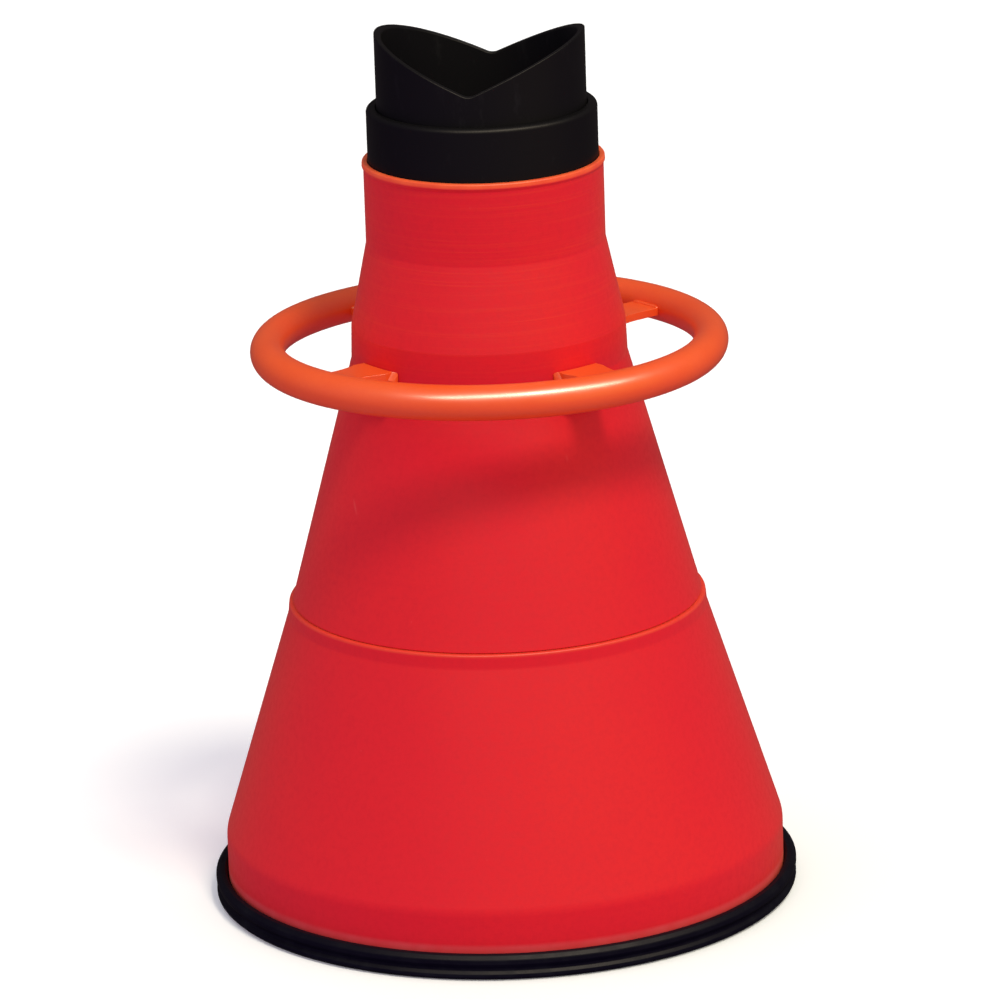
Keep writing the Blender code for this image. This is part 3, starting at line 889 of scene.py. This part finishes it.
def lamp(name, azimuth, elevation, distance, size, radiance, colour,
         diffuse=True, glossy=True):
    """A soft panel that looks at the object. It may light only matt or only glossy looks."""
    away = direction(azimuth, elevation)
    data = bpy.data.lights.new(name, "AREA")
    data.shape = "RECTANGLE"
    data.size, data.size_y = size
    data.energy = radiance * math.pi * size[0] * size[1]
    data.color = colour
    light = bpy.data.objects.new(name, data)
    light.location = Vector((0.0, 0.0, AIM_Z * MM)) + away * distance
    light.rotation_euler = away.to_track_quat("Z", "Y").to_euler()
    light.visible_camera = False
    light.visible_diffuse = diffuse
    light.visible_glossy = glossy
    bpy.context.scene.collection.objects.link(light)


def sun(name, azimuth, elevation, spread, strength, colour):
    """A distant lamp, so that the whole floor is lit alike."""
    away = direction(azimuth, elevation)
    data = bpy.data.lights.new(name, "SUN")
    data.angle = math.radians(spread)
    data.energy = strength
    data.color = colour
    light = bpy.data.objects.new(name, data)
    light.rotation_euler = away.to_track_quat("Z", "Y").to_euler()
    bpy.context.scene.collection.objects.link(light)


def surroundings():
    """Pale light from above and violet from below, dim in reflections and pale to the eye."""
    world = bpy.data.worlds.new("surroundings")
    world.use_nodes = True
    tree = world.node_tree
    shade = tree.nodes["Background"]

    def add(kind, **settings):
        node = tree.nodes.new(kind)
        for key, value in settings.items():
            setattr(node, key, value)
        return node

    split = add("ShaderNodeSeparateXYZ")
    tree.links.new(add("ShaderNodeTexCoord").outputs["Generated"], split.inputs["Vector"])
    ramp = add("ShaderNodeMapRange")
    tree.links.new(split.outputs["Z"], ramp.inputs["Value"])
    for socket, value in zip(ramp.inputs[1:5], (-0.15, 0.05, 0.0, 1.0)):
        socket.default_value = value
    tone = add("ShaderNodeMix", data_type="RGBA")
    tree.links.new(ramp.outputs["Result"], tone.inputs["Factor"])
    tone.inputs[6].default_value = (*LIGHT_BELOW, 1.0)
    tone.inputs[7].default_value = (*LIGHT_ABOVE, 1.0)
    glossy = add("ShaderNodeMix", data_type="RGBA")
    rays = add("ShaderNodeLightPath")
    tree.links.new(rays.outputs["Is Glossy Ray"], glossy.inputs["Factor"])
    tree.links.new(tone.outputs[2], glossy.inputs[6])
    glossy.inputs[7].default_value = (*LIGHT_MIRRORED, 1.0)
    seen = add("ShaderNodeMix", data_type="RGBA")
    tree.links.new(rays.outputs["Is Camera Ray"], seen.inputs["Factor"])
    tree.links.new(glossy.outputs[2], seen.inputs[6])
    seen.inputs[7].default_value = (*LIGHT_SEEN, 1.0)
    tree.links.new(seen.outputs[2], shade.inputs["Color"])
    bpy.context.scene.world = world


def pale_floor():
    """A white floor that neither tints the object nor shows in it."""
    build = bmesh.new()
    bmesh.ops.create_grid(build, x_segments=8, y_segments=8, size=30.0)
    mesh = bpy.data.meshes.new("floor")
    build.to_mesh(mesh)
    build.free()
    floor = bpy.data.objects.new("floor", mesh)
    floor.location.z = -0.0005
    floor.visible_glossy = False
    floor.visible_diffuse = False
    look = Look("pale_floor", (0.98, 0.98, 0.98), 0.9, Specular_IOR_Level=0.0,
                Emission_Color=(1.0, 1.0, 1.0, 1.0), Emission_Strength=0.10)
    look.tint(look.range(look.noise(40.0, 3.0), 0.4, 0.7, 0.0, 0.3), (0.97, 0.97, 0.97))
    mesh.materials.append(look.done())
    bpy.context.scene.collection.objects.link(floor)


def studio():
    """Warm key and right panel, violet left panel, and a strip that only reflections show."""
    sun("key", azimuth=41.0, elevation=58.0, spread=13.0, strength=1.50,
        colour=(1.0, 0.93, 0.74))
    lamp("right_panel", azimuth=60.0, elevation=16.0, distance=2.6, size=(3.0, 2.4),
         radiance=0.52, colour=(1.0, 0.78, 0.08))
    lamp("left_panel", azimuth=-62.0, elevation=14.0, distance=2.8, size=(2.4, 2.0),
         radiance=0.56, colour=(1.0, 0.50, 1.0), glossy=False)
    lamp("strip", azimuth=30.0, elevation=57.0, distance=2.6, size=(3.8, 0.60),
         radiance=40.0, colour=(1.0, 0.86, 0.64), diffuse=False)
    surroundings()
    pale_floor()
    bpy.context.scene.view_settings.view_transform = "Standard"


camera()
studio()
plastic, paint = orange_plastic(), orange_paint()
rubber, steel, black = black_rubber(), zinc_steel(), black_plastic()
base_ring(rubber)
lower_skirt(plastic)
upper_cone(plastic)
carrying_ring(paint)
lugs(paint)
fasteners(steel)
collar(black)
seal(seal_rubber())
v_tube(black)
